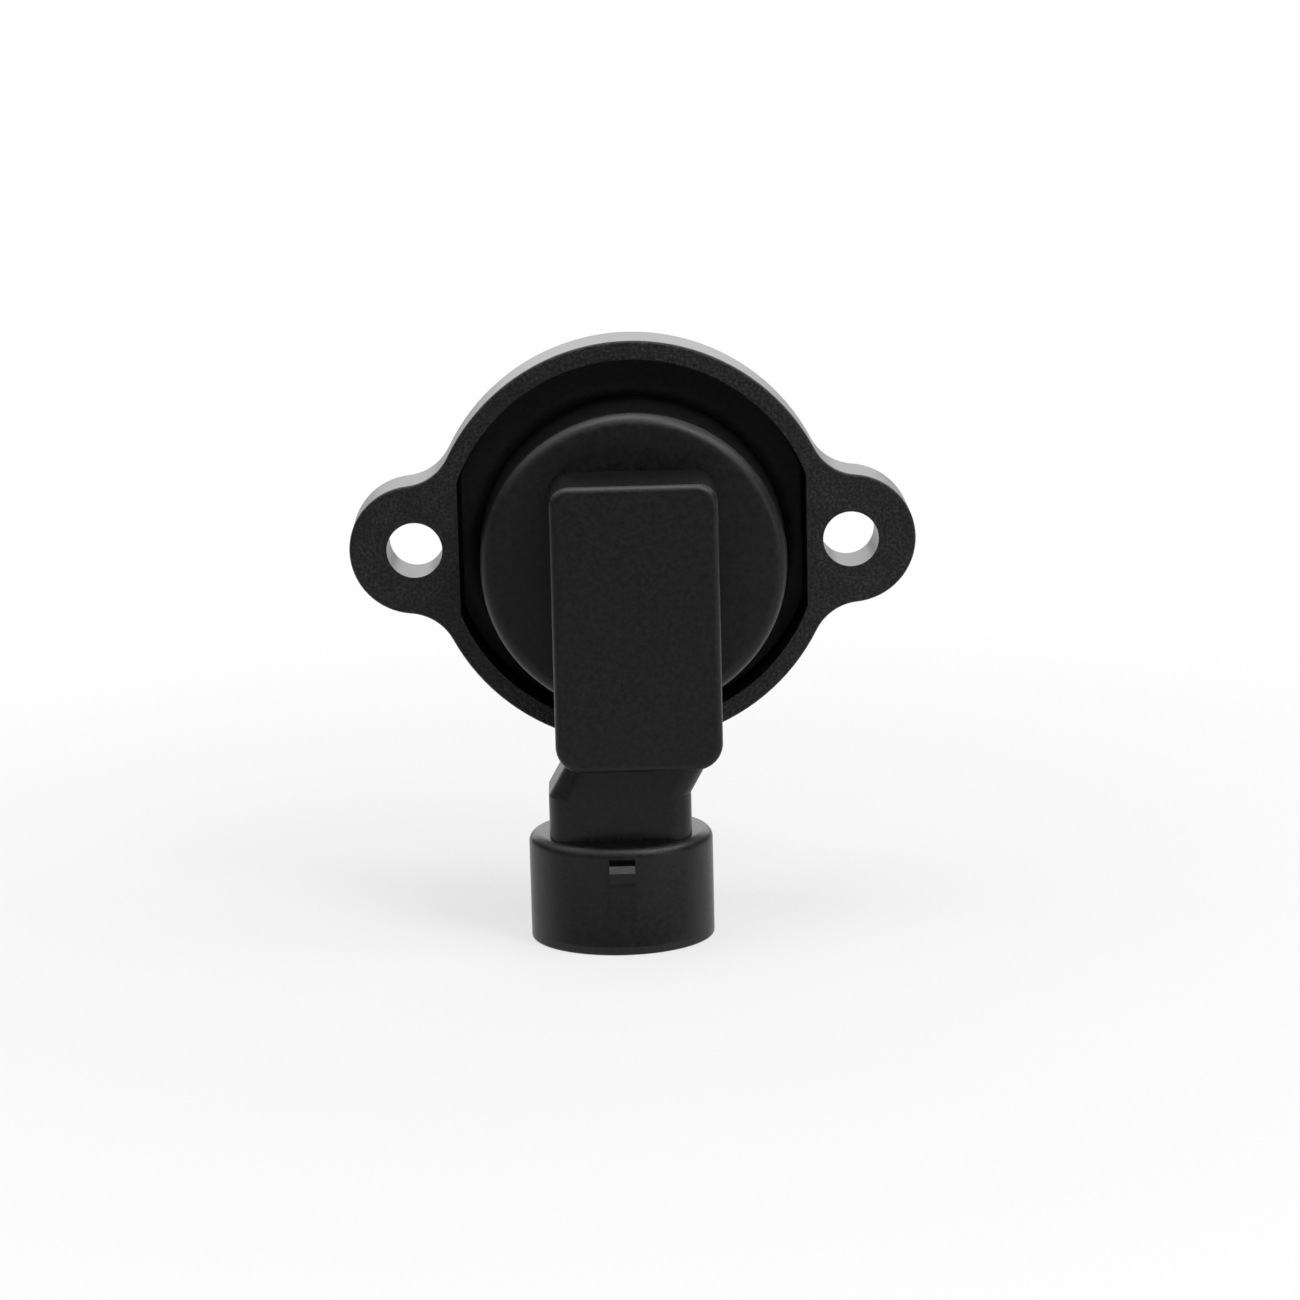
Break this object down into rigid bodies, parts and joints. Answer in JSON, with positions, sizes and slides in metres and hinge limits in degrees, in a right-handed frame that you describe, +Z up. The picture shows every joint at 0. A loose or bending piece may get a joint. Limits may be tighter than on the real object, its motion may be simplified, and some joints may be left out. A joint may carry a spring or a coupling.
{
  "type": "throttle position sensor",
  "caption": "Black moulded throttle position sensor with an eared flange, raised drum cover, terminal arm leading to a downward plug socket, and a sprung rotor with a D-shaped shaft socket.",
  "frame": {"origin": "on the rotor's axis, in the plane of the flange's mounting face, midway between the two mounting holes", "axes": "+Y into the throttle body along the rotor's axis, +X from the left hole to the right hole as seen from the front, +Z up, with the connector pointing to -Z"},
  "size_m": [0.0662, 0.0309, 0.0686],
  "materials": {
    "flange_plastic": "black glass-filled plastic, coarse spark-eroded grain",
    "cover_plastic": "black glass-filled plastic, fine matt",
    "rotor_plastic": "black bearing plastic, smooth",
    "terminal_metal": "tin-plated brass strip",
    "card_laminate": "brown laminate card",
    "carbon_ink": "printed carbon film",
    "silver_ink": "printed silver film",
    "solder": "solder",
    "spring_steel": "drawn spring wire",
    "wiper_metal": "thin contact alloy strip"
  },
  "bodies": {
    "housing": {"base_housing": "flange_plastic", "connector_cover": "cover_plastic", "supply_terminal": "terminal_metal", "signal_terminal": "terminal_metal", "ground_terminal": "terminal_metal", "resistor_card": "card_laminate", "resistive_track": "carbon_ink", "collector_track": "silver_ink", "solder_joints": "solder", "return_spring": "spring_steel"},
    "rotor": {"rotor": "rotor_plastic", "wiper_contact": "wiper_metal"}
  },
  "joints": [
    {"name": "rotor_turn", "type": "hinge", "parent": "housing", "child": "rotor", "pos_m": [0, 0, 0], "axis": [0, 1, 0], "range_deg": [0, 100], "stiffness_Nm_per_rad": 0.01, "springref_deg": -57.3, "deforming": ["return_spring"]}
  ]
}
